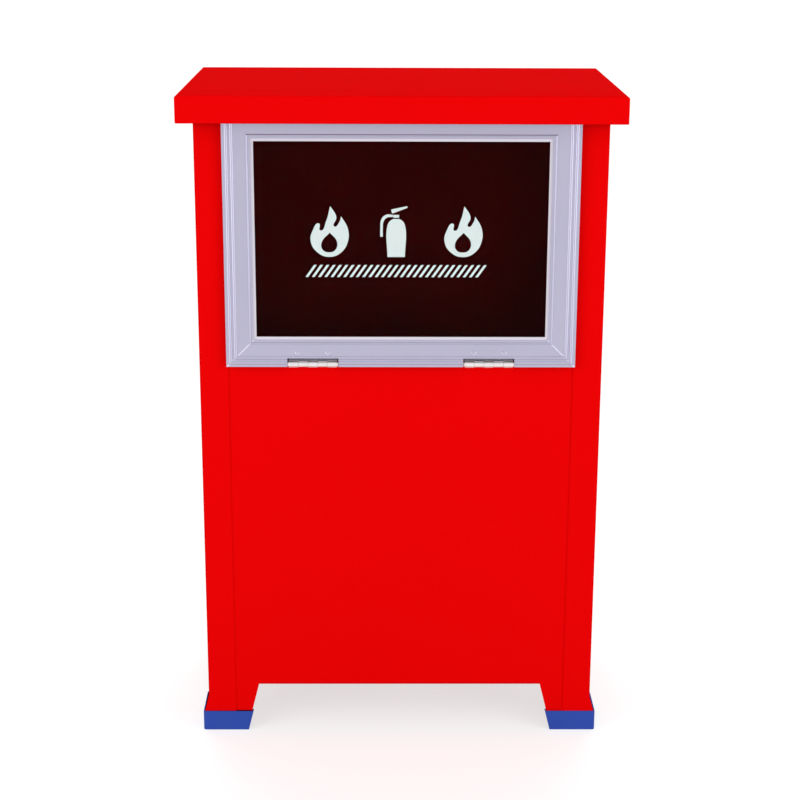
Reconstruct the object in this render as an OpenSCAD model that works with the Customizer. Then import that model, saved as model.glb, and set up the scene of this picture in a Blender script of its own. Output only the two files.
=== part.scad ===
// Free-standing cabinet for two portable fire extinguishers.
// Folded sheet steel body on four legs, a lid hinged along its back edge, and a glazed
// front flap hinged along its lower edge, whose top is held behind the lid's front flange.
// X runs across the front, Y from front to back, Z up from the floor. Millimetres.

/* [Body] */
// Width of the body across the front
body_w = 400; // [320:1:480]
// Depth of the body from front sheet to back sheet
body_d = 230; // [180:1:280]
// Height of the body's rim above the floor
rim_h = 660; // [600:1:760]
// Thickness of the folded sheet steel
sheet_t = 1.2; // [1:0.1:1.5]
// Outer radius of the folds
fold_r = 2.4; // [2:0.1:3]
// Width of the returns that the back sheet is lapped against
back_return_w = 24; // [16:1:36]
// Width of the folds that stiffen the rim
rim_return_w = 12; // [8:1:18]
// Height of the front panel's top above the floor
panel_top = 397; // [340:1:430]
// Depth of the shelf folded along the front panel's top
panel_shelf_d = 22; // [19:1:30]

/* [Legs] */
// Height of the openings between the legs
leg_h = 50.5; // [42:0.5:80]
// Width of a leg where it meets the body
leg_top_w = 52.8; // [46:0.2:70]
// Width of a leg at the floor
leg_foot_w = 40.1; // [30:0.1:44]
// Distance that a leg's side flares out to above the foot cap
flare_out = 4; // [1:0.2:5]
// Height of the flare
flare_h = 15; // [8:1:18]
// Width of the flanges that carry the floor pan
floor_flange_w = 14; // [10:1:20]
// Height of the floor pan's upturned edge
pan_edge_h = 15; // [8:1:30]

/* [Foot caps] */
// Height of a foot cap
cap_h = 21.2; // [14:1:34]
// Wall of a foot cap outside the leg
cap_outer_t = 1.8; // [1.4:0.1:4]
// Wall of a foot cap inside the leg
cap_inner_t = 2.4; // [1.6:0.1:4]
// Wall of a foot cap past the leg's sloping edge
cap_end_t = 1.4; // [1:0.1:3]
// Thickness of a foot cap under the leg
cap_sole_t = 3; // [2:0.1:6]
// Radius of a foot cap's outer corner
cap_corner_r = 2.6; // [1:0.1:3.4]

/* [Lid] */
// Overhang of the lid past each side of the body
lid_side_overhang = 13; // [8:1:20]
// Overhang of the lid past the body's front
lid_front_overhang = 34; // [32:1:45]
// Height of the lid's flanges
lid_flange_h = 26; // [20:1:36]
// Width of the flat hem along the lid's lower edges
hem_h = 8; // [5:1:12]

/* [Flap] */
// Width of the stiles beside the flap
stile_w = 28.4; // [26:0.2:60]
// Height that the flap stands up behind the lid's front flange
flap_overlap = 10; // [4:1:10]
// Width of the frame's section, from its outer edge to its inner lip
section_w = 27.4; // [26:0.2:40]
// Depth of the frame's section, from front to back
section_d = 18; // [16:1:26]
// Wall of the aluminium section
section_t = 1.4; // [1.2:0.1:2]
// Thickness of the lip that covers the gap round the flap
lip_t = 2; // [1.5:0.1:3]
// Thickness of the glass
glass_t = 4; // [3:0.5:5]
// Thickness of the glazing strip on each side of the glass
strip_t = 1.8; // [1:0.1:2.2]
// Width of glazing strip that shows past the frame's inner lip
strip_show = 2.8; // [1:0.2:4]

/* [Hinges] */
// Length of a flap hinge
flap_hinge_l = 48; // [40:1:70]
// Distance from the frame's side to the near end of a flap hinge
flap_hinge_inset = 61.5; // [30:0.5:70]
// Height of the slot in the frame's face above a flap hinge
slot_h = 3; // [1:0.1:4]
// Length of a lid hinge
lid_hinge_l = 60; // [45:1:90]
// Distance from the body's side to the near end of a lid hinge
lid_hinge_inset = 50; // [40:1:65]
// Radius of a hinge pin
pin_r = 1.5; // [1.2:0.1:1.8]
// Outer radius of a hinge knuckle
knuckle_r = 2.9; // [2.6:0.1:3.2]
// Thickness of a hinge leaf
leaf_t = 1.2; // [1:0.1:1.6]
// Reach of a hinge leaf from its pin
leaf_reach = 20; // [15:1:24]

/* [Clearances] */
// Clearance between moving pieces and fixed ones
clear = 5.2; // [5:0.1:7]
// Clearance between the ends of knuckles, and round them
knuckle_clear = 0.3; // [0.2:0.05:0.5]
// Clearance of a pin in its knuckles
pin_clear = 0.05; // [0.02:0.01:0.1]
// Clearance between pieces that are fitted together
fit = 0.2; // [0.1:0.05:0.4]

/* [Hidden] */
$fn = 48;
over = 1;
knuckle_count = 5;

paint_red = [0.93, 0.01, 0.01];
cap_blue = [0.20, 0.29, 0.67];
aluminium = [0.73, 0.73, 0.80];
strip_white = [0.93, 0.90, 0.93];
steel = [0.70, 0.70, 0.72];
glass_dark = [0.20, 0.04, 0.03, 0.5];

// A leaf lies just outside its knuckles, so that what it is fixed to clears them.
leaf_off = knuckle_r + knuckle_clear;

// Lid: its sheet clears the rim, and its flanges reach down past it.
lid_under_z = rim_h + clear;
lid_top_z = lid_under_z + sheet_t;
lid_flange_z = lid_top_z - lid_flange_h;
lid_w = body_w + 2 * lid_side_overhang;
lid_front_y = -lid_front_overhang;
lid_back_y = body_d + clear + sheet_t;
lid_hinge_y = lid_back_y + leaf_off;
lid_hinge_z = lid_flange_z - 2;
lid_hinge_x = body_w / 2 - lid_hinge_inset - lid_hinge_l / 2;

// Flap: its frame stands proud of the front by the clearance and the covering lip.
flap_hinge_z = panel_top + leaf_off;
flap_bottom_z = flap_hinge_z - knuckle_r;
flap_top_z = lid_flange_z + flap_overlap;
flap_h = flap_top_z - flap_bottom_z;
flap_mid_z = (flap_top_z + flap_bottom_z) / 2;
flap_face_y = -clear - lip_t;
flap_hinge_y = flap_face_y + 0.6;
lip_w = flap_hinge_z + leaf_off - flap_bottom_z;
flap_w = body_w - 2 * (stile_w + clear - lip_w);
flap_hinge_x = flap_w / 2 - flap_hinge_inset - flap_hinge_l / 2;

// Frame section: a field set back between ridges, a hollow box, and a channel for the glass.
field_v = 1;
ridge_r = 2.2;
first_ridge_u = 4.2;
ridge_pitch = 5.1;
inner_ridge_r = 1;
inner_ridge_in = 3.2;
inner_ridge_u = section_w - inner_ridge_in;
channel_v = field_v + 1.6;
channel_end_v = channel_v + 2 * strip_t + glass_t;
channel_depth = 7;
box_end_u = section_w - channel_depth;
glass_u = box_end_u + strip_t;
strip_end_u = section_w + strip_show;

// Leg: the sheets stand in the cap, the outer return with the panel lapped behind it.
pack_t = 2 * sheet_t;
leg_slope = (leg_top_w - leg_foot_w) / leg_h;
floor_z = leg_h + sheet_t;
flare_z = cap_h + flare_h;

// The origin is at the middle of the whole outline, on the floor.
hinge_back_y = lid_hinge_y + knuckle_r;
front_y = -(lid_front_y + hinge_back_y) / 2;

// Places what is drawn with its front sheet at Y = 0.
module placed(shade) {
    color(shade) translate([0, front_y, 0]) children();
}

// Draws a profile whose X is depth and whose Y is height, extruded across the front.
module across(length) {
    translate([-length / 2, 0, 0])
        rotate([90, 0, 90]) linear_extrude(height = length) children();
}

// Draws a profile whose X is width and whose Y is height, extruded from front to back.
module front_to_back(from, to) {
    translate([0, to, 0]) rotate([90, 0, 0]) linear_extrude(height = to - from) children();
}

// Angle section of sheet with its outer corner at the origin, one leg along X and one along Y.
module angle_section(x_leg, y_leg) {
    translate([fold_r, 0]) square([x_leg - fold_r, sheet_t]);
    translate([0, fold_r]) square([sheet_t, y_leg - fold_r]);
    intersection() {
        translate([fold_r, fold_r]) difference() {
            circle(r = fold_r);
            circle(r = fold_r - sheet_t);
        }
        square([fold_r, fold_r]);
    }
}

// Opening between two legs, with the legs' inner edges sloping, under a sheet of this width.
module leg_window(width) {
    polygon([
        [leg_foot_w - leg_slope * over, -over], [width - leg_foot_w + leg_slope * over, -over],
        [width - leg_top_w, leg_h], [width - leg_top_w, leg_h + fold_r],
        [leg_top_w, leg_h + fold_r], [leg_top_w, leg_h]
    ]);
}

// Fold along the bottom of a sheet that the floor pan stands on, drawn in across(): its outer
// corner faces the front.
module floor_flange_section() {
    translate([0, leg_h]) angle_section(floor_flange_w, fold_r + over);
}

// Side sheet, drawn for the left side: a return at the front that makes the stile beside the
// flap, a return at the back, a fold along the rim, and a leg at each end that flares out.
module side_panel() {
    translate([-body_w / 2, 0, 0]) {
        difference() {
            side_shell();
            rotate([90, 0, 90]) translate([0, 0, -flare_out - over])
                linear_extrude(height = flare_out + fold_r + 2 * over) leg_window(body_d);
        }
        side_rim();
        translate([0, body_d / 2, 0]) side_floor_flange();
    }
}

// The side sheet and its two returns: folded above the flare, and flat sheets meeting at a sharp
// corner from there down.
module side_shell() {
    translate([0, 0, flare_z]) linear_extrude(height = rim_h - fold_r - flare_z) difference() {
        form_section(0);
        form_section(sheet_t);
        translate([stile_w, -over]) square([body_w, body_d / 2 + over]);
        translate([back_return_w, body_d / 2 - over]) square([body_w, body_d]);
    }
    front_to_back(0, body_d) flared_outline(sheet_t);
    front_to_back(0, sheet_t) flared_outline(stile_w);
    front_to_back(body_d - sheet_t, body_d) flared_outline(back_return_w);
}

// Outline from the leg's lower end to the top of the flare: its outer edge leans out and then
// goes straight down into the cap. A sheet's thickness makes the inner edge follow it.
module flared_outline(inner) {
    shift = inner > sheet_t ? 0 : flare_out;
    polygon([
        [0, flare_z], [-flare_out, cap_h], [-flare_out, cap_sole_t],
        [inner - shift, cap_sole_t], [inner - shift, cap_h], [inner, flare_z]
    ]);
}

// Rectangle with its two outer corners rounded like the folds.
module form_section(inset) {
    translate([inset, inset]) mirror([1, -1, 0])
        rounded_base(body_d - 2 * inset, body_w / 2, fold_r - inset);
}

// Top of the side sheet: the two returns run up to the rim, and the sheet between them folds in.
module side_rim() {
    rim_z = rim_h - fold_r;
    translate([0, 0, rim_z - over]) linear_extrude(height = fold_r + over) {
        intersection() {
            angle_section(stile_w, body_d / 2);
            square([stile_w, fold_r + fit]);
        }
        translate([0, body_d]) mirror([0, 1]) intersection() {
            angle_section(back_return_w, body_d / 2);
            square([back_return_w, fold_r + fit]);
        }
    }
    front_to_back(fold_r + 2 * fit, body_d - fold_r - 2 * fit)
        translate([0, rim_h]) mirror([0, 1]) angle_section(rim_return_w, fold_r + over);
}

// Fold under the side sheet, between the legs.
module side_floor_flange() {
    span = body_d - 2 * leg_top_w;
    front_to_back(-span / 2, span / 2) translate([0, leg_h]) angle_section(floor_flange_w, fold_r + over);
}

// Sheet lapped against the returns of both sides, with its outer face at the origin: legs, a
// fold that carries the floor pan, and a fold of this depth along its top.
module lapped_panel(top_z, top_fold_d, return_gap) {
    width = body_w - 2 * (fold_r + fit);
    translate([0, sheet_t, 0]) {
        difference() {
            translate([0, 0, cap_sole_t]) across(width) square([sheet_t, top_z - fold_r - cap_sole_t]);
            front_to_back(-over, sheet_t + over)
                translate([-body_w / 2, 0]) leg_window(body_w);
        }
        across(body_w - 2 * leg_top_w) floor_flange_section();
        across(width - 2 * return_gap)
            translate([0, top_z]) mirror([0, 1]) angle_section(top_fold_d, fold_r + over);
    }
}

module front_panel() {
    lapped_panel(panel_top, panel_shelf_d, 0);
}

module back_panel() {
    translate([0, body_d, 0]) mirror([0, 1, 0]) lapped_panel(rim_h, rim_return_w, rim_return_w);
}

// Floor of the cabinet, standing on the folds of the four sheets.
module floor_pan() {
    inset = sheet_t + fit;
    lap_inset = pack_t + fit;
    pan_w = body_w - 2 * inset;
    pan_d = body_d - 2 * lap_inset;
    top_z = floor_z + pan_edge_h;
    difference() {
        translate([-pan_w / 2, lap_inset, floor_z]) pan_block(pan_w, pan_d, pan_edge_h, fold_r);
        translate([-pan_w / 2 + sheet_t, lap_inset + sheet_t, floor_z + sheet_t])
            pan_block(pan_w - 2 * sheet_t, pan_d - 2 * sheet_t, pan_edge_h, fold_r - sheet_t);
    }
}

// Block with its lower edges rounded, open at its top: two extrusions crossed.
module pan_block(width, depth, height, radius) {
    intersection() {
        translate([width / 2, 0, 0]) across(width) rounded_base(depth, height, radius);
        translate([0, depth / 2, 0]) front_to_back(-depth / 2, depth / 2)
            rounded_base(width, height, radius);
    }
}

// Rectangle with its two lower corners rounded.
module rounded_base(width, height, radius) {
    translate([radius, 0]) square([width - 2 * radius, height]);
    translate([0, radius]) square([width, height - radius]);
    for (x = [radius, width - radius]) translate([x, radius]) circle(r = radius);
}

// Plastic shoe on a leg, drawn at the origin for the front left one: an arm under each sheet,
// with a slot that the sheets stand in. The front arm starts at the flare.
module foot_cap() {
    difference() {
        union() {
            front_to_back(-cap_outer_t, pack_t + fit + cap_inner_t) cap_arm(flare_out);
            side_arm(-cap_outer_t, sheet_t + fit + cap_inner_t) cap_arm(0);
        }
        translate([0, 0, cap_sole_t]) {
            front_to_back(-fit, pack_t + fit) cap_slot(flare_out);
            side_arm(-fit, sheet_t + fit) cap_slot(0);
        }
        cap_corner();
    }
}

// Draws a profile of a cap's front arm along the cabinet's side instead.
module side_arm(from, to) {
    mirror([1, -1, 0]) front_to_back(from, to) children();
}

// Outline of an arm seen from its outer face, its end sloping with the leg.
module cap_arm(extra) {
    reach = leg_foot_w + extra + cap_end_t;
    polygon([
        [-cap_outer_t, 0], [reach, 0],
        [reach + leg_slope * cap_h, cap_h], [-cap_outer_t, cap_h]
    ]);
}

// Outline of the sheet's place in an arm.
module cap_slot(extra) {
    reach = leg_foot_w + extra + leg_slope * cap_sole_t + fit;
    polygon([
        [-fit, 0], [reach, 0],
        [reach + leg_slope * cap_h, cap_h], [-fit, cap_h]
    ]);
}

// What is cut away to round a cap's outer corner.
module cap_corner() {
    translate([-cap_outer_t, -cap_outer_t, -over]) linear_extrude(height = cap_h + 2 * over)
        difference() {
            translate([-over, -over]) square(cap_corner_r + over);
            translate([cap_corner_r, cap_corner_r]) circle(r = cap_corner_r);
        }
}

// The lid is one sheet folded down on all four sides: two rounded outlines crossed, less the same
// a sheet's thickness smaller, with a flat hem inside its lower edges.
module lid_pan() {
    depth = lid_back_y - lid_front_y;
    translate([0, 0, lid_top_z]) mirror([0, 0, 1]) {
        difference() {
            translate([-lid_w / 2, lid_front_y, 0]) pan_block(lid_w, depth, lid_flange_h, fold_r);
            translate([-lid_w / 2 + sheet_t, lid_front_y + sheet_t, sheet_t])
                pan_block(lid_w - pack_t, depth - pack_t, lid_flange_h, fold_r - sheet_t);
        }
        lid_hem();
    }
}

// The hem doubles the sheet along the front and sides.
module lid_hem() {
    inner = lid_w / 2 - sheet_t;
    translate([0, 0, lid_flange_h - hem_h]) linear_extrude(height = hem_h) {
        translate([-inner, lid_front_y + sheet_t]) square([2 * inner, sheet_t]);
        for (side = [-1, 1]) translate([side * (inner - sheet_t / 2), (lid_front_y + body_d) / 2])
            square([sheet_t, body_d - lid_front_y - 2 * sheet_t], center = true);
    }
}

// Cross section of the flap's frame: X is depth from the front face, Y runs from the outer edge
// towards the glass.
module frame_section() {
    difference() {
        union() {
            translate([field_v, 0]) square([lip_t - field_v, lip_w + over]);
            translate([field_v, lip_w]) square([section_d - field_v, box_end_u - lip_w]);
            translate([field_v, box_end_u - over])
                square([channel_end_v + section_t - field_v, section_w - box_end_u + over]);
            face_ridges();
        }
        translate([field_v + section_t, lip_w + section_t])
            square([section_d - field_v - 2 * section_t, box_end_u - lip_w - 2 * section_t]);
        translate([channel_v, box_end_u]) square([channel_end_v - channel_v, section_w]);
    }
}

// Ridges along the face: two by the outer edge, and a fine one by the glass.
module face_ridges() {
    ridge(first_ridge_u, ridge_r);
    ridge(first_ridge_u + ridge_pitch, ridge_r);
    ridge(inner_ridge_u, inner_ridge_r);
}

// Part round along the face at this distance from the outer edge, merged with the field.
module ridge(centre_u, radius) {
    intersection() {
        translate([radius, centre_u]) circle(r = radius);
        translate([0, centre_u - radius]) square([field_v + fit, 2 * radius]);
    }
}

// Length of a section mitred at both ends, along X at the bottom of a frame.
module mitred(length, section_reach) {
    intersection() {
        across(length) children();
        front_to_back(-over, section_d + over) polygon([
            [-length / 2, 0], [length / 2, 0],
            [length / 2 - section_reach, section_reach], [section_reach - length / 2, section_reach]
        ]);
    }
}

// Moves what is drawn along the bottom edge of the flap to its bottom, right, top or left.
module on_flap_edge(edge) {
    half = edge % 2 == 0 ? flap_h / 2 : flap_w / 2;
    translate([0, flap_face_y, flap_mid_z]) rotate([0, -90 * edge, 0]) translate([0, 0, -half])
        children();
}

function edge_length(edge) = edge % 2 == 0 ? flap_w : flap_h;

module frame_member(edge) {
    on_flap_edge(edge) mitred(edge_length(edge), section_w) frame_section();
}

// The bottom rail's lip is cut away where the hinge knuckles stand, and a slot is milled in the
// face above them.
module bottom_rail() {
    notch_w = flap_hinge_l + 2 * (pin_head_t + knuckle_clear);
    slot_d = section_d / 2;
    difference() {
        frame_member(0);
        for (side = [-1, 1]) translate([side * flap_hinge_x, flap_face_y, flap_bottom_z]) {
            translate([0, section_d / 2, 0]) cube([notch_w, section_d + 2 * over, 2 * lip_w], center = true);
            translate([-notch_w / 2, -over, 0]) cube([notch_w, over + slot_d, lip_w + slot_h]);
        }
    }
}

// White channel strip that the edge of the glass sits in.
module glazing_strip(edge) {
    on_flap_edge(edge) mitred(edge_length(edge), strip_end_u) difference() {
        union() {
            translate([channel_v, box_end_u]) square([strip_t, strip_end_u - box_end_u]);
            translate([channel_v, box_end_u]) square([channel_end_v - channel_v, section_w - box_end_u]);
        }
        translate([channel_v + strip_t, glass_u]) square([glass_t, section_w]);
    }
}

module flap_glass() {
    glass_w = flap_w - 2 * glass_u;
    glass_h = flap_h - 2 * glass_u;
    translate([-glass_w / 2, flap_face_y + channel_v + strip_t, flap_bottom_z + glass_u])
        cube([glass_w, glass_t, glass_h]);
}

// Heads that keep a pin in its knuckles.
pin_head_r = pin_r + 0.7;
pin_head_t = 0.9;

// Hinge pin along X, with a head at each end.
module hinge_pin(length) {
    rod(pin_r, length + 2 * pin_head_t);
    for (side = [-1, 1]) translate([side * (length + pin_head_t) / 2, 0, 0])
        rod(pin_head_r, pin_head_t - knuckle_clear / 3);
}

module rod(radius, length) {
    rotate([0, 90, 0]) cylinder(r = radius, h = length, center = true);
}

// Half of a butt hinge with its pin along X. The leaf reaches along +Y, off the pin's middle
// towards +Z. The fixed leaf has the odd knuckles and the moving leaf has the even ones.
module hinge_leaf(length, first, reach) {
    pitch = length / knuckle_count;
    difference() {
        union() {
            translate([-length / 2, leaf_off + fit, leaf_off - leaf_t])
                cube([length, reach - leaf_off - fit, leaf_t]);
            for (i = [first : 2 : knuckle_count - 1])
                translate([(i + 0.5) * pitch - length / 2, 0, 0]) {
                    rod(knuckle_r, pitch - knuckle_clear);
                    translate([-(pitch - knuckle_clear) / 2, 0, leaf_off - leaf_t])
                        cube([pitch - knuckle_clear, leaf_off + fit + over, leaf_t]);
                }
        }
        rod(pin_r + pin_clear, length + over);
    }
}

module at_flap_hinge(side) {
    translate([side * flap_hinge_x, flap_hinge_y, flap_hinge_z]) children();
}

module at_lid_hinge(side) {
    translate([side * lid_hinge_x, lid_hinge_y, lid_hinge_z]) children();
}

module flap_fixed_leaf() {
    mirror([0, 0, 1]) hinge_leaf(flap_hinge_l, 0, leaf_reach);
}

module flap_moving_leaf() {
    hinge_leaf(flap_hinge_l, 1, section_d + flap_face_y - flap_hinge_y - fit);
}

module lid_moving_leaf() {
    rotate([90, 0, 0]) hinge_leaf(lid_hinge_l, 1, leaf_reach);
}

// The lid's fixed leaf is cranked in to the lapped back sheet, which the lid's flange stands off.
module lid_fixed_leaf() {
    crank_z = -leaf_off - 2 * leaf_t - fit;
    reach_in = lid_hinge_y - body_d + sheet_t;
    mirror([0, 0, 1]) rotate([90, 0, 0]) hinge_leaf(lid_hinge_l, 0, -crank_z);
    across(lid_hinge_l) {
        translate([-reach_in, crank_z]) square([reach_in - leaf_off + leaf_t, leaf_t]);
        translate([-reach_in, crank_z - leaf_reach]) square([leaf_t, leaf_reach + leaf_t]);
    }
}

module corner_cap(side, back) {
    placed(cap_blue) translate([side * (body_w / 2 + flare_out), back ? body_d : 0, 0])
        mirror([side > 0 ? 1 : 0, 0, 0]) mirror([0, back ? 1 : 0, 0]) foot_cap();
}

placed(paint_red) side_panel();  // left_side_panel
placed(paint_red) mirror([1, 0, 0]) side_panel();  // right_side_panel
placed(paint_red) front_panel();
placed(paint_red) back_panel();
placed(paint_red) floor_pan();
corner_cap(-1, false);  // front_left_foot_cap
corner_cap(1, false);  // front_right_foot_cap
corner_cap(-1, true);  // back_left_foot_cap
corner_cap(1, true);  // back_right_foot_cap

placed(steel) at_lid_hinge(-1) lid_fixed_leaf();  // left_lid_hinge_fixed_leaf
placed(steel) at_lid_hinge(1) lid_fixed_leaf();  // right_lid_hinge_fixed_leaf
placed(steel) at_lid_hinge(-1) hinge_pin(lid_hinge_l);  // left_lid_hinge_pin
placed(steel) at_lid_hinge(1) hinge_pin(lid_hinge_l);  // right_lid_hinge_pin
placed(steel) at_flap_hinge(-1) flap_fixed_leaf();  // left_flap_hinge_fixed_leaf
placed(steel) at_flap_hinge(1) flap_fixed_leaf();  // right_flap_hinge_fixed_leaf
placed(steel) at_flap_hinge(-1) hinge_pin(flap_hinge_l);  // left_flap_hinge_pin
placed(steel) at_flap_hinge(1) hinge_pin(flap_hinge_l);  // right_flap_hinge_pin

placed(paint_red) lid_pan();
placed(steel) at_lid_hinge(-1) lid_moving_leaf();  // left_lid_hinge_moving_leaf
placed(steel) at_lid_hinge(1) lid_moving_leaf();  // right_lid_hinge_moving_leaf

placed(aluminium) bottom_rail();  // flap_bottom_rail
placed(aluminium) frame_member(1);  // flap_right_stile
placed(aluminium) frame_member(2);  // flap_top_rail
placed(aluminium) frame_member(3);  // flap_left_stile
placed(glass_dark) flap_glass();
placed(strip_white) glazing_strip(0);  // bottom_glazing_strip
placed(strip_white) glazing_strip(1);  // right_glazing_strip
placed(strip_white) glazing_strip(2);  // top_glazing_strip
placed(strip_white) glazing_strip(3);  // left_glazing_strip
placed(steel) at_flap_hinge(-1) flap_moving_leaf();  // left_flap_hinge_moving_leaf
placed(steel) at_flap_hinge(1) flap_moving_leaf();  // right_flap_hinge_moving_leaf
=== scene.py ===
"""Finish and stage of a floor-standing cabinet for portable fire extinguishers.

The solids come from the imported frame. This file gives them their paint, anodising, plastic and
glass, adds the rivets and the white pictures on the glass, and lights and frames the cabinet.
"""

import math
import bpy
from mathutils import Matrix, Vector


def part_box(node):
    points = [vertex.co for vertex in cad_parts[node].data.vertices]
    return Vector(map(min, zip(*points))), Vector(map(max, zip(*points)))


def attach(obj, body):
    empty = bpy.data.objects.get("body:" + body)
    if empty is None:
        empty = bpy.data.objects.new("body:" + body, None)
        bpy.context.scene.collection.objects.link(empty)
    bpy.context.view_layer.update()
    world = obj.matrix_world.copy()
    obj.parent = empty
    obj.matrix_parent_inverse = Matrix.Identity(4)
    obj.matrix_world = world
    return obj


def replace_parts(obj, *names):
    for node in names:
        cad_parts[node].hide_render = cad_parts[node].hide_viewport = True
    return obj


bl_info = {
    "name": "Extinguisher Cabinet Finish",
    "version": (1, 0, 0),
    "blender": (4, 5, 0),
    "location": "3D View > Sidebar > Cabinet",
    "description": "Finishes, rivets, glass pictures and stage of an extinguisher cabinet",
    "category": "Object",
}

import bmesh
import bpy
from bpy.props import FloatProperty, FloatVectorProperty, PointerProperty
from bpy.types import Operator, Panel, PropertyGroup
from mathutils import Matrix, Vector

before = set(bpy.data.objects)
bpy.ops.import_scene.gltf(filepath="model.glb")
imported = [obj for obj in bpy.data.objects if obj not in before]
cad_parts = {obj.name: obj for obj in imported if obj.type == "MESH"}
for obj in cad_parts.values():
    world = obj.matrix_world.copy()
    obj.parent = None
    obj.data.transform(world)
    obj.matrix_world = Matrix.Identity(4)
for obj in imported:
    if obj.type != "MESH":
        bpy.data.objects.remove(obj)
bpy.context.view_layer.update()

MM = 0.001
SHEET_NODES = (
    "left_side_panel", "right_side_panel", "front_panel", "back_panel", "floor_pan", "lid_pan",
)
RAIL_NODES = ("flap_bottom_rail", "flap_top_rail")
STILE_NODES = ("flap_left_stile", "flap_right_stile")
FRONT_PLANE_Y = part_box("left_side_panel")[0][1]
GLASS_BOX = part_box("flap_glass")
FORWARDS = Vector((0, -1, 0))
BACKWARDS = Vector((0, 1, 0))

# How near a point counts as the same, as in a plane or as at a border of a piece.
MERGE_DISTANCE = 0.005 * MM
CUT_DISTANCE = 0.001 * MM
PLANE_DISTANCE = 0.02 * MM
BORDER_DISTANCE = 0.1 * MM

CAP_ROUND = 0.5 * MM
HEM_ROUND = 1.1 * MM
FRAME_ROUND = 0.25 * MM
FRAME_ANGLE = 60.0
FIELD_DEPTH = 1.0 * MM
MITRE_CHAMFER = 0.7 * MM
MITRE_DEPTH = 0.35 * MM
MITRE_REACH = 10 * MM
# Brighter silver of the lower mitre chamfers, a painted highlight along the mitre joints.
MITRE_HIGHLIGHT_SILVER = (0.52, 0.51, 0.62)

RIVET_BITE = 0.1 * MM
RIVET_STEPS = 24
DOME_STEPS = 6
LEAF_THICKNESS = 1.2 * MM
LEAF_ROW_INSET = 7.5 * MM
LEAF_ROW_PLACES = (0.15, 0.5, 0.85)

PRINT_MIDDLE_X = -5 * MM
PRINT_THICKNESS = 0.12 * MM
PRINT_BITE = 0.02 * MM
BAND_SCALE = 50 * MM
DRAWING_MERGE = 0.00001

FLOOR_HALF_WIDTH = 30.0
FLOOR_GREY = 0.45
FLOOR_GLOW = 0.64
SOFTBOX_SIZE = Vector((1.1, 1.4))
SOFTBOX_DISTANCE = 1.6
SOFTBOX_LIFT = 0.02
SENSOR_WIDTH = 36.0
CAMERA_REACH = 100.0


def colour_property(name, description, default):
    """Colour that a user would change."""
    return FloatVectorProperty(
        name=name, description=description, default=default, subtype="COLOR", size=3,
        min=0.0, max=1.0,
    )


def length_property(name, description, default):
    """Length in metres that a user would change."""
    return FloatProperty(
        name=name, description=description, default=default, min=0.0, unit="LENGTH"
    )


def share_property(name, description, default):
    """Share between nothing and all."""
    return FloatProperty(
        name=name, description=description, default=default, min=0.0, max=1.0, subtype="FACTOR"
    )


def angle_property(name, description, degrees):
    """Angle that a user would change."""
    return FloatProperty(
        name=name, description=description, default=math.radians(degrees), subtype="ANGLE"
    )


class CabinetPaintSettings(PropertyGroup):
    """Powder coat on the sheet steel, and the plastic of the foot caps."""

    red: colour_property("Red", "Colour of the powder coat", (0.74, 0.0012, 0.0016))
    gloss: share_property("Roughness", "Roughness of the powder coat", 0.36)
    peel: length_property("Orange peel", "Depth of the powder coat's fine waviness", 0.00006)
    cap_blue: colour_property("Cap blue", "Colour of the foot caps", (0.030, 0.071, 0.37))


class CabinetFrameSettings(PropertyGroup):
    """Anodised frame round the glass, its white strip and the zinc plated hinges."""

    silver: colour_property("Silver", "Colour of the anodised frame", (0.436, 0.423, 0.546))
    strip: colour_property("Strip", "Colour of the glazing strip", (0.66, 0.62, 0.69))
    zinc: colour_property("Zinc", "Colour of the zinc plating", (0.74, 0.71, 0.71))


class CabinetGlassSettings(PropertyGroup):
    """Glass of the flap and the pictures printed on it."""

    tint: colour_property("Tint", "Colour that the glass passes", (0.21, 0.09, 0.09))
    print_white: colour_property("Print", "Colour of the printed pictures", (0.62, 0.70, 0.69))
    print_height: length_property("Picture height", "Height of the printed pictures", 0.050)
    print_pitch: length_property("Picture pitch", "Distance between the pictures' middles", 0.065)
    print_level: length_property(
        "Picture level", "Height of the pictures' middle above the floor", 0.5325
    )
    band_level: length_property(
        "Band level", "Height of the striped band above the floor", 0.4935
    )


class CabinetRivetSettings(PropertyGroup):
    """Rivets that hold the hinges."""

    head_radius: length_property("Head radius", "Radius of a rivet's head", 0.0030)
    head_height: length_property("Head height", "Height of a rivet's head", 0.0007)
    front_level: length_property(
        "Front level", "Height of the flap's rivets above the floor", 0.4110
    )
    front_spacing: length_property(
        "Front spacing", "Distance between a hinge's two front rivets", 0.030
    )


class CabinetStageSettings(PropertyGroup):
    """Camera and light."""

    camera_x: FloatProperty(
        name="Camera X", description="Sideways place of the camera", default=-0.017, unit="LENGTH"
    )
    camera_distance: length_property(
        "Camera distance", "Distance from the camera to the front sheet", 1.703
    )
    camera_height: length_property(
        "Camera height", "Height of the camera above the floor", 0.857
    )
    camera_pitch: angle_property("Camera pitch", "Angle that the camera looks down by", 16.22)
    camera_turn: angle_property(
        "Camera turn", "Angle that the camera is turned to the right by", 0.55
    )
    camera_roll: angle_property("Camera roll", "Angle that the camera leans by", 0.23)
    lens: FloatProperty(name="Lens", description="Focal length in millimetres", default=79.9)
    ambient: FloatProperty(
        name="Ambient", description="Strength of the light from all round", default=0.55
    )
    key: FloatProperty(
        name="Key", description="Strength of the light from the front", default=0.78
    )
    sides: FloatProperty(
        name="Sides", description="Power in watts of the two softboxes", default=9.0
    )
    back: FloatProperty(
        name="Back", description="Strength of the light from above and behind", default=1.32
    )


SETTINGS = {
    "cabinet_paint": CabinetPaintSettings,
    "cabinet_frame": CabinetFrameSettings,
    "cabinet_glass": CabinetGlassSettings,
    "cabinet_rivets": CabinetRivetSettings,
    "cabinet_stage": CabinetStageSettings,
}


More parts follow.
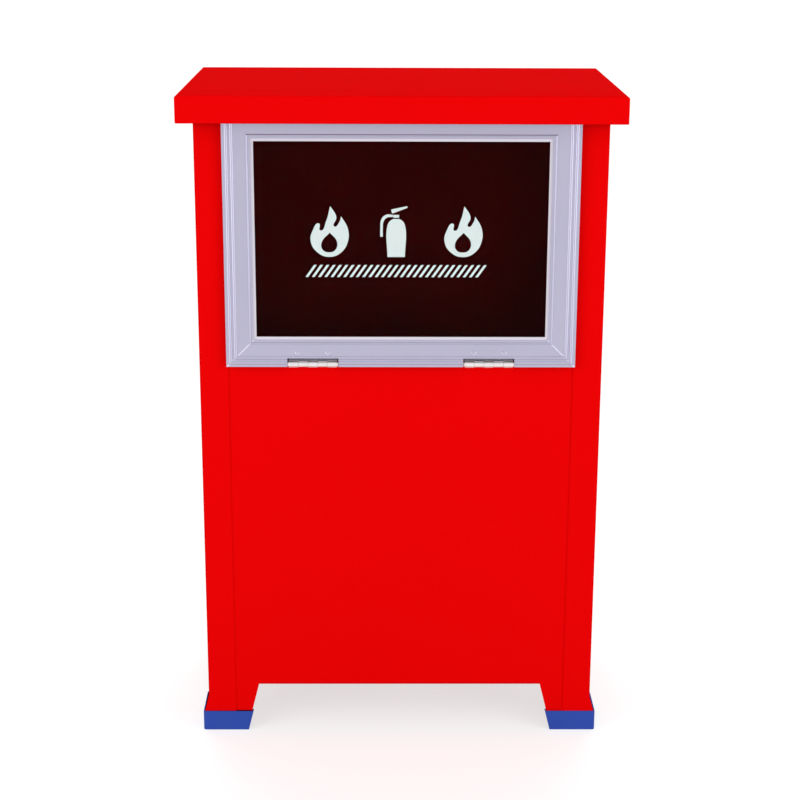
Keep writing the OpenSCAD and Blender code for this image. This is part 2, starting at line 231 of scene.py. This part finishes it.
def new_group(name, inputs, outputs):
    """Empty shader node group with named inputs and outputs, and its two end nodes."""
    group = bpy.data.node_groups.new(name, "ShaderNodeTree")
    for label, default in inputs.items():
        kind = "NodeSocketColor" if isinstance(default, tuple) else "NodeSocketFloat"
        socket = group.interface.new_socket(name=label, in_out="INPUT", socket_type=kind)
        socket.default_value = default
    for label, kind in outputs.items():
        group.interface.new_socket(name=label, in_out="OUTPUT", socket_type=kind)
    return group, group.nodes.new("NodeGroupInput"), group.nodes.new("NodeGroupOutput")


def add_node(tree, kind, **values):
    """New node with its settings and its unlinked inputs filled in."""
    node = tree.nodes.new(kind)
    for label, value in values.items():
        if hasattr(node, label):
            setattr(node, label, value)
        else:
            node.inputs[label.replace("_", " ").title()].default_value = value
    return node


def math_node(tree, operation, first, second):
    """Math node whose two inputs are sockets or plain numbers."""
    node = tree.nodes.new("ShaderNodeMath")
    node.operation = operation
    for socket, value in zip(node.inputs, (first, second)):
        if isinstance(value, (int, float)):
            socket.default_value = value
        else:
            tree.links.new(value, socket)
    return node.outputs[0]


def orange_peel_group():
    """Fine waviness of powder coat: two sizes of soft noise added up."""
    group, ends, out = new_group("orange_peel", {"Scale": 700.0}, {"Height": "NodeSocketFloat"})
    place = add_node(group, "ShaderNodeTexCoord")
    heights = []
    for factor in (1.0, 0.37):
        noise = add_node(group, "ShaderNodeTexNoise", detail=1.0)
        group.links.new(place.outputs["Object"], noise.inputs["Vector"])
        size = math_node(group, "MULTIPLY", ends.outputs["Scale"], factor)
        group.links.new(size, noise.inputs["Scale"])
        heights.append(noise.outputs["Fac"])
    group.links.new(math_node(group, "ADD", *heights), out.inputs["Height"])
    return group


def handling_group():
    """Broad soft patches where the surface is a little duller and darker from handling."""
    group, ends, out = new_group(
        "handling",
        {
            "Colour": (0.5, 0.5, 0.5, 1.0), "Shade": 0.05, "Roughness": 0.3, "Spread": 0.08,
            "Scale": 6.0,
        },
        {"Colour": "NodeSocketColor", "Roughness": "NodeSocketFloat"},
    )
    place = add_node(group, "ShaderNodeTexCoord")
    noise = add_node(group, "ShaderNodeTexNoise", detail=4.0, roughness=0.6)
    group.links.new(place.outputs["Object"], noise.inputs["Vector"])
    group.links.new(ends.outputs["Scale"], noise.inputs["Scale"])
    swing = math_node(group, "SUBTRACT", noise.outputs["Fac"], 0.5)
    rough = math_node(group, "MULTIPLY", swing, ends.outputs["Spread"])
    rough = math_node(group, "ADD", rough, ends.outputs["Roughness"])
    group.links.new(rough, out.inputs["Roughness"])
    darker = math_node(group, "MULTIPLY", swing, ends.outputs["Shade"])
    hue = add_node(group, "ShaderNodeHueSaturation")
    group.links.new(math_node(group, "ADD", darker, 1.0), hue.inputs["Value"])
    group.links.new(ends.outputs["Colour"], hue.inputs["Color"])
    group.links.new(hue.outputs["Color"], out.inputs["Colour"])
    return group


def drawn_lines_group():
    """Fine lines that a die leaves along an extrusion or rolled sheet: noise stretched along it."""
    group, ends, out = new_group(
        "drawn_lines",
        {"Along X": 1.0, "Along Y": 1.0, "Along Z": 1.0},
        {"Height": "NodeSocketFloat"},
    )
    place = add_node(group, "ShaderNodeTexCoord")
    scale = add_node(group, "ShaderNodeCombineXYZ")
    for axis in "XYZ":
        group.links.new(ends.outputs["Along " + axis], scale.inputs[axis])
    stretched = add_node(group, "ShaderNodeVectorMath", operation="MULTIPLY")
    group.links.new(place.outputs["Object"], stretched.inputs[0])
    group.links.new(scale.outputs[0], stretched.inputs[1])
    noise = add_node(group, "ShaderNodeTexNoise", scale=1.0, detail=3.0, roughness=0.65)
    group.links.new(stretched.outputs[0], noise.inputs["Vector"])
    group.links.new(noise.outputs["Fac"], out.inputs["Height"])
    return group


def shared_group(maker):
    """The one node group that this function makes, built the first time it is asked for."""
    return bpy.data.node_groups.get(maker.__name__.removesuffix("_group")) or maker()


def new_material(name):
    """Material with a Principled shader, and that shader."""
    material = bpy.data.materials.new(name)
    material.use_nodes = True
    return material, material.node_tree.nodes["Principled BSDF"]


def use_group(material, maker, **values):
    """Shared node group placed in a material with its own values."""
    node = material.node_tree.nodes.new("ShaderNodeGroup")
    node.node_tree = shared_group(maker)
    for label, value in values.items():
        node.inputs[label.replace("_", " ")].default_value = value
    return node


def bump_from(material, shader, height, distance):
    """Bump node between a height and the shader's normal."""
    tree = material.node_tree
    bump = tree.nodes.new("ShaderNodeBump")
    bump.inputs["Strength"].default_value = 1.0
    bump.inputs["Distance"].default_value = distance
    tree.links.new(height, bump.inputs["Height"])
    tree.links.new(bump.outputs["Normal"], shader.inputs["Normal"])


def handled_colour(material, shader, colour, shade, roughness, spread, scale):
    """Base colour and roughness that vary a little over the surface."""
    node = use_group(
        material, handling_group, Colour=(*colour, 1.0), Shade=shade, Roughness=roughness,
        Spread=spread, Scale=scale,
    )
    links = material.node_tree.links
    links.new(node.outputs["Colour"], shader.inputs["Base Color"])
    links.new(node.outputs["Roughness"], shader.inputs["Roughness"])


def powder_coat(paint):
    """Glossy signal red powder coat."""
    material, shader = new_material("red_powder_coat")
    handled_colour(
        material, shader, paint.red, shade=0.05, roughness=paint.gloss, spread=0.08, scale=5.0
    )
    shader.inputs["IOR"].default_value = 1.003
    peel = use_group(material, orange_peel_group, Scale=620.0)
    bump_from(material, shader, peel.outputs["Height"], distance=paint.peel)
    return material


def moulded_cap(paint):
    """Blue moulded plastic with a fine spark-eroded grain."""
    material, shader = new_material("blue_cap_plastic")
    handled_colour(
        material, shader, paint.cap_blue, shade=0.18, roughness=0.42, spread=0.12, scale=30.0
    )
    shader.inputs["IOR"].default_value = 1.15
    grain = use_group(material, orange_peel_group, Scale=2600.0)
    bump_from(material, shader, grain.outputs["Height"], distance=0.08 * MM)
    return material


def anodised(name, settings, stretch):
    """Satin silver anodising with fine lines along the extrusion."""
    material, shader = new_material(name)
    handled_colour(
        material, shader, settings.silver, shade=0.10, roughness=0.30, spread=0.08, scale=14.0
    )
    shader.inputs["Metallic"].default_value = 0.6
    lines = use_group(
        material, drawn_lines_group, Along_X=stretch[0], Along_Y=stretch[1], Along_Z=stretch[2]
    )
    bump_from(material, shader, lines.outputs["Height"], distance=0.015 * MM)
    return material


def painted_mitre_highlight():
    """Brighter silver for the mitre chamfers, a painted highlight along the mitre joints."""
    material, shader = new_material("painted_mitre_highlight")
    handled_colour(
        material, shader, MITRE_HIGHLIGHT_SILVER, shade=0.10, roughness=0.45, spread=0.10, scale=60.0
    )
    shader.inputs["Metallic"].default_value = 0.6
    lines = use_group(material, drawn_lines_group, Along_X=900.0, Along_Y=2400.0, Along_Z=900.0)
    bump_from(material, shader, lines.outputs["Height"], distance=0.03 * MM)
    return material


def glazing_white(settings):
    """White flexible strip between the frame and the glass."""
    material, shader = new_material("white_glazing_strip")
    handled_colour(
        material, shader, settings.strip, shade=0.06, roughness=0.5, spread=0.10, scale=40.0
    )
    grain = use_group(material, orange_peel_group, Scale=1800.0)
    bump_from(material, shader, grain.outputs["Height"], distance=0.04 * MM)
    return material


def zinc_plate(settings):
    """Bright zinc plating on rolled steel."""
    material, shader = new_material("zinc_plated_steel")
    handled_colour(
        material, shader, settings.zinc, shade=0.35, roughness=0.34, spread=0.22, scale=90.0
    )
    shader.inputs["Metallic"].default_value = 0.85
    lines = use_group(material, drawn_lines_group, Along_X=60.0, Along_Y=2400.0, Along_Z=2400.0)
    bump_from(material, shader, lines.outputs["Height"], distance=0.04 * MM)
    return material


def flap_glass_material(settings):
    """Glass that looks dark against the cabinet's inside."""
    material, shader = new_material("dark_flap_glass")
    shader.inputs["Base Color"].default_value = (*settings.tint, 1.0)
    shader.inputs["Roughness"].default_value = 0.0
    shader.inputs["Transmission Weight"].default_value = 1.0
    shader.inputs["IOR"].default_value = 1.10
    return material


def printed_white(settings):
    """Bluish white screen print."""
    material, shader = new_material("screen_print")
    handled_colour(
        material, shader, settings.print_white, shade=0.08, roughness=0.55, spread=0.10, scale=60.0
    )
    grain = use_group(material, orange_peel_group, Scale=2400.0)
    bump_from(material, shader, grain.outputs["Height"], distance=0.03 * MM)
    return material


def dress(nodes, material):
    """Gives CAD nodes this material."""
    for name in nodes:
        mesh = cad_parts[name].data
        mesh.materials.clear()
        mesh.materials.append(material)


def nodes_with(*words):
    """Names of the CAD nodes whose name has all these words."""
    return [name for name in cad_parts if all(word in name for word in words)]


def finish_piece(bm, name, material, body, smooth=False):
    """Turns a bmesh, already in the frame's place, into a piece that rides on a body."""
    bmesh.ops.recalc_face_normals(bm, faces=bm.faces)
    for face in bm.faces:
        face.smooth = smooth
    mesh = bpy.data.meshes.new(name)
    bm.to_mesh(mesh)
    bm.free()
    mesh.materials.append(material)
    piece = bpy.data.objects.new(name, mesh)
    bpy.context.scene.collection.objects.link(piece)
    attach(piece, body)
    return piece


def merged_copy(name):
    """Copy of a CAD node's mesh with its triangles joined to flat faces."""
    bm = bmesh.new()
    bm.from_mesh(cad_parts[name].data)
    bmesh.ops.remove_doubles(bm, verts=bm.verts, dist=MERGE_DISTANCE)
    bmesh.ops.dissolve_limit(bm, angle_limit=math.radians(0.5), verts=bm.verts, edges=bm.edges)
    return bm


def sharp_edges(bm, least_angle=50.0):
    """Edges where two faces meet at more than this angle."""
    return [
        edge for edge in bm.edges
        if len(edge.link_faces) == 2 and edge.calc_face_angle() > math.radians(least_angle)
    ]


def bevel_edges(bm, edges, width, segments):
    """Bevel of these edges, flat with one segment and round with more."""
    return bmesh.ops.bevel(
        bm, geom=edges, offset=width, offset_type="OFFSET", affect="EDGES", segments=segments,
        profile=0.5, material=-1, clamp_overlap=True,
    )


def soften_edges(name, material, body, width):
    """Replaces a CAD node by a merged copy of it with a narrow round along its sharp edges."""
    bm = merged_copy(name)
    bevel_edges(bm, sharp_edges(bm), width, segments=2)
    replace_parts(finish_piece(bm, "soft_" + name, material, body), name)


def mitre_planes(bm, field_y):
    """A point and an inward normal for each lower mitre that ends this member of the frame."""
    middle = sum((vert.co for vert in bm.verts), Vector()) / len(bm.verts)
    planes = []
    for edge in sharp_edges(bm):
        start, end = (vert.co.copy() for vert in edge.verts)
        along = end - start
        diagonal = abs(abs(along.x) - abs(along.z)) < 0.01 * along.length
        on_field = max(abs(start.y - field_y), abs(end.y - field_y)) < PLANE_DISTANCE
        # Only the lower mitres, which the light catches, get the chamfer and its painted highlight.
        at_foot = max(start.z, end.z) < GLASS_BOX[0][2] + MITRE_REACH
        if diagonal and on_field and at_foot and along.length > MITRE_REACH:
            inward = along.cross(BACKWARDS).normalized()
            if inward.dot(middle - start) < 0:
                inward.negate()
            planes.append((start, inward))
    return planes


def chamfer_mitre(bm, point, inward, field_y):
    """Cuts a narrow strip of the face along a mitre, tips it back and paints a highlight on it."""
    geometry = bm.verts[:] + bm.edges[:] + bm.faces[:]
    bmesh.ops.bisect_plane(
        bm, geom=geometry, dist=CUT_DISTANCE, plane_co=point + MITRE_CHAMFER * inward,
        plane_no=inward,
    )
    strip = [
        face for face in bm.faces
        if all(abs(vert.co.y - field_y) < PLANE_DISTANCE for vert in face.verts)
        and all(inward.dot(vert.co - point) < 1.1 * MITRE_CHAMFER for vert in face.verts)
    ]
    corners = {vert for face in strip for vert in face.verts}
    for vert in [vert for vert in corners if inward.dot(vert.co - point) < PLANE_DISTANCE]:
        vert.co.y += MITRE_DEPTH
    for face in strip:
        face.material_index = 1


def soften_frame_member(name, material, highlight_metal):
    """Replaces a member of the flap's frame by a softened copy with painted highlights on its
    mitres.
    """
    bm = merged_copy(name)
    field_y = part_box("flap_bottom_rail")[0][1] + FIELD_DEPTH
    for point, inward in mitre_planes(bm, field_y):
        chamfer_mitre(bm, point, inward, field_y)
    bevel_edges(bm, sharp_edges(bm, FRAME_ANGLE), FRAME_ROUND, segments=2)
    bmesh.ops.remove_doubles(bm, verts=bm.verts, dist=MERGE_DISTANCE)
    bmesh.ops.dissolve_degenerate(bm, dist=MERGE_DISTANCE, edges=bm.edges)
    piece = finish_piece(bm, "soft_" + name, material, "flap")
    piece.data.materials.append(highlight_metal)
    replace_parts(piece, name)


def round_hem(material):
    """Replaces the lid by a copy whose doubled lower edge is rolled along the front and sides."""
    bm = merged_copy("lid_pan")
    low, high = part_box("lid_pan")
    rolled = []
    for edge in sharp_edges(bm):
        a, b = (vert.co for vert in edge.verts)
        at_bottom = max(a.z, b.z) < low[2] + BORDER_DISTANCE
        at_front = max(a.y, b.y) < low[1] + BORDER_DISTANCE
        at_side = min(abs(a.x), abs(b.x)) > high[0] - BORDER_DISTANCE
        if at_bottom and (at_front or at_side):
            rolled.append(edge)
    bevel_edges(bm, rolled, HEM_ROUND, segments=4)
    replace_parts(finish_piece(bm, "rolled_lid_pan", material, "lid"), "lid_pan")


def add_rivet(bm, centre, outward, radius, height):
    """Blind rivet's head: a low dome with the small dimple of its pulled stem, spun in one turn."""
    dimple = 0.30 * radius
    points = [(0.0, 0.45 * height), (0.8 * dimple, 0.5 * height), (dimple, 0.96 * height)]
    for step in range(1, DOME_STEPS + 1):
        angle = step / DOME_STEPS * math.pi / 2
        points.append((dimple + (radius - dimple) * math.sin(angle), height * math.cos(angle)))
    points += [(radius, -RIVET_BITE), (0.0, -RIVET_BITE)]
    turn = outward.to_track_quat("Z", "Y").to_matrix().to_4x4()
    place = Matrix.Translation(centre) @ turn
    verts = [bm.verts.new(place @ Vector((r, 0.0, h))) for r, h in points]
    edges = [bm.edges.new(pair) for pair in zip(verts, verts[1:])]
    bmesh.ops.spin(
        bm, geom=verts + edges, cent=centre, axis=outward, angle=math.tau, steps=RIVET_STEPS,
        use_merge=True,
    )
    bmesh.ops.remove_doubles(bm, verts=bm.verts, dist=CUT_DISTANCE)


def flat_outline(curve, points):
    """Adds one closed outline to a filled flat curve. Each point is (x, y, is_corner)."""
    spline = curve.splines.new("BEZIER")
    spline.bezier_points.add(len(points) - 1)
    for knot, (x, y, corner) in zip(spline.bezier_points, points):
        knot.co = (x, y, 0.0)
        kind = "VECTOR" if corner else "AUTO"
        knot.handle_left_type = kind
        knot.handle_right_type = kind
    spline.use_cyclic_u = True


def flame_outlines():
    """Flame with a smaller flame cut out of it, one unit tall."""
    outer = [
        (0.02, 0.50, True), (0.14, 0.28, False), (0.10, 0.10, False), (0.20, 0.19, False),
        (0.23, 0.30, True), (0.36, 0.06, False), (0.36, -0.20, False), (0.22, -0.42, False),
        (0.0, -0.50, False), (-0.22, -0.42, False), (-0.36, -0.20, False), (-0.32, 0.02, False),
        (-0.20, 0.16, False), (-0.17, 0.02, False), (-0.06, 0.20, False),
    ]
    inner = [
        (0.01, -0.02, True), (0.15, -0.20, False), (0.12, -0.36, False), (0.0, -0.41, False),
        (-0.13, -0.36, False), (-0.15, -0.22, False),
    ]
    return [outer, inner]


def box_outline(left, right, low, high):
    """Rectangle with sharp corners."""
    return [(left, low, True), (right, low, True), (right, high, True), (left, high, True)]


def bottle_outlines():
    """Extinguisher: bottle with round shoulders, neck, lever, nozzle hose, one unit tall."""
    bottle = [
        (-0.17, -0.50, True), (0.17, -0.50, True), (0.17, 0.12, False), (0.12, 0.21, False),
        (0.055, 0.25, True), (-0.055, 0.25, True), (-0.12, 0.21, False), (-0.17, 0.12, False),
    ]
    neck = box_outline(-0.055, 0.055, 0.275, 0.33)
    lever = [
        (-0.08, 0.355, True), (0.22, 0.47, True), (0.21, 0.50, True), (-0.10, 0.435, True),
    ]
    hose = [
        (-0.06, 0.33, True), (-0.20, 0.33, False), (-0.29, 0.24, False), (-0.31, 0.06, False),
        (-0.31, -0.10, True), (-0.26, -0.10, True), (-0.26, 0.06, False), (-0.245, 0.20, False),
        (-0.19, 0.27, False), (-0.06, 0.29, True),
    ]
    return [bottle, neck, lever, hose]


def stripe_outlines(width, height, count):
    """Row of short slanted stripes."""
    pitch = width / count
    slant = 0.35 * height
    half = 0.22 * pitch
    outlines = []
    for index in range(count):
        middle = (index + 0.5) * pitch - width / 2
        outlines.append([
            (middle - slant - half, -height / 2, True), (middle - slant + half, -height / 2, True),
            (middle + slant + half, height / 2, True), (middle + slant - half, height / 2, True),
        ])
    return outlines


def printed_shape(name, outlines, scale, x, z, material):
    """Thin filled shape set a hair into the front of the glass, with its middle at this place."""
    curve = bpy.data.curves.new(name, "CURVE")
    curve.dimensions = "2D"
    curve.fill_mode = "BOTH"
    curve.extrude = PRINT_THICKNESS / 2 / scale
    curve.resolution_u = 8
    for outline in outlines:
        flat_outline(curve, outline)
    drawn = bpy.data.objects.new(name + "_drawn", curve)
    bpy.context.scene.collection.objects.link(drawn)
    bpy.context.view_layer.update()
    mesh = bpy.data.meshes.new_from_object(drawn)
    bpy.data.objects.remove(drawn)
    bm = bmesh.new()
    bm.from_mesh(mesh)
    bpy.data.meshes.remove(mesh)
    bmesh.ops.remove_doubles(bm, verts=bm.verts, dist=DRAWING_MERGE)
    upright = Matrix.Rotation(math.pi / 2, 4, "X")
    y = GLASS_BOX[0][1] - PRINT_THICKNESS / 2 + PRINT_BITE
    place = Matrix.Translation((x, y, z)) @ upright @ Matrix.Scale(scale, 4)
    bmesh.ops.transform(bm, matrix=place, verts=bm.verts)
    return finish_piece(bm, name, material, "flap")


class CABINET_OT_sheet_metal(Operator):
    """Paints the folded sheets of the body and the lid, and rolls the lid's lower edge"""

    bl_idname = "cabinet.sheet_metal"
    bl_label = "Paint Sheet Metal"

    def execute(self, context):
        coat = powder_coat(context.scene.cabinet_paint)
        dress(SHEET_NODES, coat)
        round_hem(coat)
        return {"FINISHED"}


class CABINET_OT_foot_caps(Operator):
    """Rounds the foot caps' edges and gives them their moulded plastic"""

    bl_idname = "cabinet.foot_caps"
    bl_label = "Finish Foot Caps"

    def execute(self, context):
        plastic = moulded_cap(context.scene.cabinet_paint)
        for name in nodes_with("foot_cap"):
            soften_edges(name, plastic, "cabinet", CAP_ROUND)
        return {"FINISHED"}


class CABINET_OT_flap_frame(Operator):
    """Softens and anodises the frame of the flap, and whitens its glazing strips"""

    bl_idname = "cabinet.flap_frame"
    bl_label = "Finish Flap Frame"

    def execute(self, context):
        settings = context.scene.cabinet_frame
        rail = anodised("silver_rail", settings, (8.0, 1500.0, 1500.0))
        stile = anodised("silver_stile", settings, (1500.0, 1500.0, 8.0))
        bright = painted_mitre_highlight()
        for names, material in ((RAIL_NODES, rail), (STILE_NODES, stile)):
            for name in names:
                soften_frame_member(name, material, bright)
        dress(nodes_with("glazing_strip"), glazing_white(settings))
        return {"FINISHED"}


class CABINET_OT_hinges(Operator):
    """Gives the hinges their zinc plating"""

    bl_idname = "cabinet.hinges"
    bl_label = "Finish Hinges"

    def execute(self, context):
        dress(nodes_with("hinge"), zinc_plate(context.scene.cabinet_frame))
        return {"FINISHED"}


class CABINET_OT_glass(Operator):
    """Gives the flap its dark glass"""

    bl_idname = "cabinet.glass"
    bl_label = "Finish Glass"

    def execute(self, context):
        dress(["flap_glass"], flap_glass_material(context.scene.cabinet_glass))
        return {"FINISHED"}


class CABINET_OT_glass_print(Operator):
    """Prints two flames, a bottle and a striped band on the glass"""

    bl_idname = "cabinet.glass_print"
    bl_label = "Print Glass"

    def execute(self, context):
        glass = context.scene.cabinet_glass
        white = printed_white(glass)
        pictures = (
            ("left_flame_print", flame_outlines(), -1),
            ("bottle_print", bottle_outlines(), 0),
            ("right_flame_print", flame_outlines(), 1),
        )
        for name, outlines, place in pictures:
            x = PRINT_MIDDLE_X + place * glass.print_pitch
            printed_shape(name, outlines, glass.print_height, x, glass.print_level, white)
        band = stripe_outlines(width=3.44, height=0.24, count=28)
        printed_shape(
            "striped_band_print", band, BAND_SCALE, PRINT_MIDDLE_X, glass.band_level, white
        )
        return {"FINISHED"}


class CABINET_OT_rivets(Operator):
    """Sets the rivets of the flap's and the lid's hinges"""

    bl_idname = "cabinet.rivets"
    bl_label = "Set Rivets"

    def execute(self, context):
        rivets = context.scene.cabinet_rivets
        silver = bpy.data.materials["silver_rail"]
        steel = bpy.data.materials["zinc_plated_steel"]
        for side in ("left", "right"):
            hinge = side + "_lid_hinge_"
            self.front_rivets(side, rivets, silver)
            self.leaf_rivets(hinge + "moving_leaf", "lid_pan", "lid", rivets, steel)
            self.leaf_rivets(hinge + "fixed_leaf", "back_panel", "cabinet", rivets, steel)
        return {"FINISHED"}

    def front_rivets(self, side, rivets, metal):
        """Two heads on the frame's face above a flap hinge."""
        low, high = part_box(side + "_flap_hinge_fixed_leaf")
        middle = (low[0] + high[0]) / 2
        face_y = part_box("flap_bottom_rail")[0][1] + FIELD_DEPTH
        bm = bmesh.new()
        for step in (-0.5, 0.5):
            centre = Vector((middle + step * rivets.front_spacing, face_y, rivets.front_level))
            add_rivet(bm, centre, FORWARDS, rivets.head_radius, rivets.head_height)
        finish_piece(bm, side + "_flap_hinge_rivets", metal, "flap", smooth=True)

    def leaf_rivets(self, leaf, sheet, body, rivets, metal):
        """Three heads in a row on the outer face of a lid hinge's leaf, which lies on a sheet."""
        low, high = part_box(leaf)
        level = high[2] - LEAF_ROW_INSET if body == "lid" else low[2] + LEAF_ROW_INSET
        face_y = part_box(sheet)[1][1] + LEAF_THICKNESS
        bm = bmesh.new()
        for step in LEAF_ROW_PLACES:
            centre = Vector((low[0] + step * (high[0] - low[0]), face_y, level))
            add_rivet(bm, centre, BACKWARDS, rivets.head_radius, rivets.head_height)
        finish_piece(bm, leaf.replace("leaf", "rivets"), metal, body, smooth=True)


def seen_rays(tree):
    """One for the camera and for what metal and glass show, and none for the light on things."""
    path = tree.nodes.new("ShaderNodeLightPath")
    total = math_node(tree, "ADD", path.outputs["Is Camera Ray"], path.outputs["Is Glossy Ray"])
    total = math_node(tree, "ADD", total, path.outputs["Is Transmission Ray"])
    return math_node(tree, "MINIMUM", total, 1.0)


def floor_material():
    """Pale floor that looks white and keeps the cabinet's shadow."""
    material = bpy.data.materials.new("pale_floor")
    material.use_nodes = True
    tree = material.node_tree
    tree.nodes.clear()
    diffuse = tree.nodes.new("ShaderNodeBsdfDiffuse")
    diffuse.inputs["Color"].default_value = (FLOOR_GREY, FLOOR_GREY, FLOOR_GREY, 1.0)
    glow = tree.nodes.new("ShaderNodeEmission")
    seen = math_node(tree, "MULTIPLY", seen_rays(tree), FLOOR_GLOW)
    tree.links.new(seen, glow.inputs["Strength"])
    both = tree.nodes.new("ShaderNodeAddShader")
    tree.links.new(diffuse.outputs[0], both.inputs[0])
    tree.links.new(glow.outputs[0], both.inputs[1])
    out = tree.nodes.new("ShaderNodeOutputMaterial")
    tree.links.new(both.outputs[0], out.inputs["Surface"])
    return material


def white_world(scene, ambient):
    """World that looks white and lights the cabinet from all round at this strength."""
    world = bpy.data.worlds.new("studio_world")
    world.use_nodes = True
    tree = world.node_tree
    background = tree.nodes["Background"]
    background.inputs["Color"].default_value = (1.0, 1.0, 1.0, 1.0)
    seen = math_node(tree, "MULTIPLY", seen_rays(tree), 1.0 - ambient)
    tree.links.new(math_node(tree, "ADD", seen, ambient), background.inputs["Strength"])
    scene.world = world


def add_sun(name, strength, elevation, azimuth, spread):
    """Soft sun from this elevation, this far round from the front, that gloss doesn't show."""
    data = bpy.data.lights.new(name, "SUN")
    data.energy = strength
    data.angle = math.radians(spread)
    lamp = bpy.data.objects.new(name, data)
    lamp.rotation_euler = (math.radians(90.0 - elevation), 0.0, math.radians(azimuth))
    lamp.visible_glossy = False
    bpy.context.scene.collection.objects.link(lamp)


def add_softbox(name, power, azimuth):
    """Tall upright light just above the floor, this far round from the front."""
    data = bpy.data.lights.new(name, "AREA")
    data.energy = power
    data.shape = "RECTANGLE"
    data.size, data.size_y = SOFTBOX_SIZE
    turn = Matrix.Rotation(math.radians(azimuth), 4, "Z")
    place = Matrix.Translation((0.0, -SOFTBOX_DISTANCE, SOFTBOX_SIZE.y / 2 + SOFTBOX_LIFT))
    lamp = bpy.data.objects.new(name, data)
    lamp.matrix_world = turn @ place @ Matrix.Rotation(math.pi / 2, 4, "X")
    lamp.visible_camera = False
    bpy.context.scene.collection.objects.link(lamp)


class CABINET_OT_stage(Operator):
    """Builds the floor, the light and the camera"""

    bl_idname = "cabinet.stage"
    bl_label = "Build Stage"

    def execute(self, context):
        scene = context.scene
        stage = scene.cabinet_stage
        self.floor(scene)
        white_world(scene, stage.ambient)
        add_sun("key_sun", stage.key, elevation=10.0, azimuth=5.0, spread=12.0)
        add_softbox("left_softbox", stage.sides, azimuth=-48.0)
        add_softbox("right_softbox", stage.sides, azimuth=48.0)
        add_sun("back_sun", stage.back, elevation=50.0, azimuth=180.0, spread=50.0)
        self.camera(scene, stage)
        scene.view_settings.view_transform = "Standard"
        return {"FINISHED"}

    def floor(self, scene):
        """Wide plain floor under the feet."""
        bm = bmesh.new()
        bmesh.ops.create_grid(bm, x_segments=1, y_segments=1, size=FLOOR_HALF_WIDTH)
        mesh = bpy.data.meshes.new("floor")
        bm.to_mesh(mesh)
        bm.free()
        mesh.materials.append(floor_material())
        floor = bpy.data.objects.new("floor", mesh)
        scene.collection.objects.link(floor)

    def camera(self, scene, stage):
        """Camera at the photograph's height, distance and tilt."""
        data = bpy.data.cameras.new("front_camera")
        data.lens = stage.lens
        data.sensor_width = SENSOR_WIDTH
        data.clip_end = CAMERA_REACH
        camera = bpy.data.objects.new("front_camera", data)
        place = Vector((stage.camera_x, FRONT_PLANE_Y - stage.camera_distance, stage.camera_height))
        turn = Matrix.Rotation(-stage.camera_turn, 4, "Z")
        pitch = Matrix.Rotation(math.pi / 2 - stage.camera_pitch, 4, "X")
        roll = Matrix.Rotation(stage.camera_roll, 4, "Z")
        camera.matrix_world = Matrix.Translation(place) @ turn @ pitch @ roll
        scene.collection.objects.link(camera)
        scene.camera = camera


class CABINET_PT_finish(Panel):
    """Lists the steps that finish the cabinet"""

    bl_idname = "CABINET_PT_finish"
    bl_label = "Extinguisher Cabinet"
    bl_space_type = "VIEW_3D"
    bl_region_type = "UI"
    bl_category = "Cabinet"

    def draw(self, context):
        for operator in OPERATORS:
            self.layout.operator(operator.bl_idname)
        for name, group in SETTINGS.items():
            box = self.layout.box()
            for label in group.__annotations__:
                box.prop(getattr(context.scene, name), label)


OPERATORS = (
    CABINET_OT_sheet_metal,
    CABINET_OT_foot_caps,
    CABINET_OT_flap_frame,
    CABINET_OT_hinges,
    CABINET_OT_glass,
    CABINET_OT_glass_print,
    CABINET_OT_rivets,
    CABINET_OT_stage,
)


def register():
    for group in SETTINGS.values():
        bpy.utils.register_class(group)
    for name, group in SETTINGS.items():
        setattr(bpy.types.Scene, name, PointerProperty(type=group))
    for operator in OPERATORS:
        bpy.utils.register_class(operator)
    bpy.utils.register_class(CABINET_PT_finish)


def unregister():
    bpy.utils.unregister_class(CABINET_PT_finish)
    for operator in reversed(OPERATORS):
        bpy.utils.unregister_class(operator)
    for name, group in SETTINGS.items():
        delattr(bpy.types.Scene, name)
        bpy.utils.unregister_class(group)


def main():
    register()
    for operator in OPERATORS:
        family, step = operator.bl_idname.split(".")
        getattr(getattr(bpy.ops, family), step)()


if __name__ == "__main__":
    main()
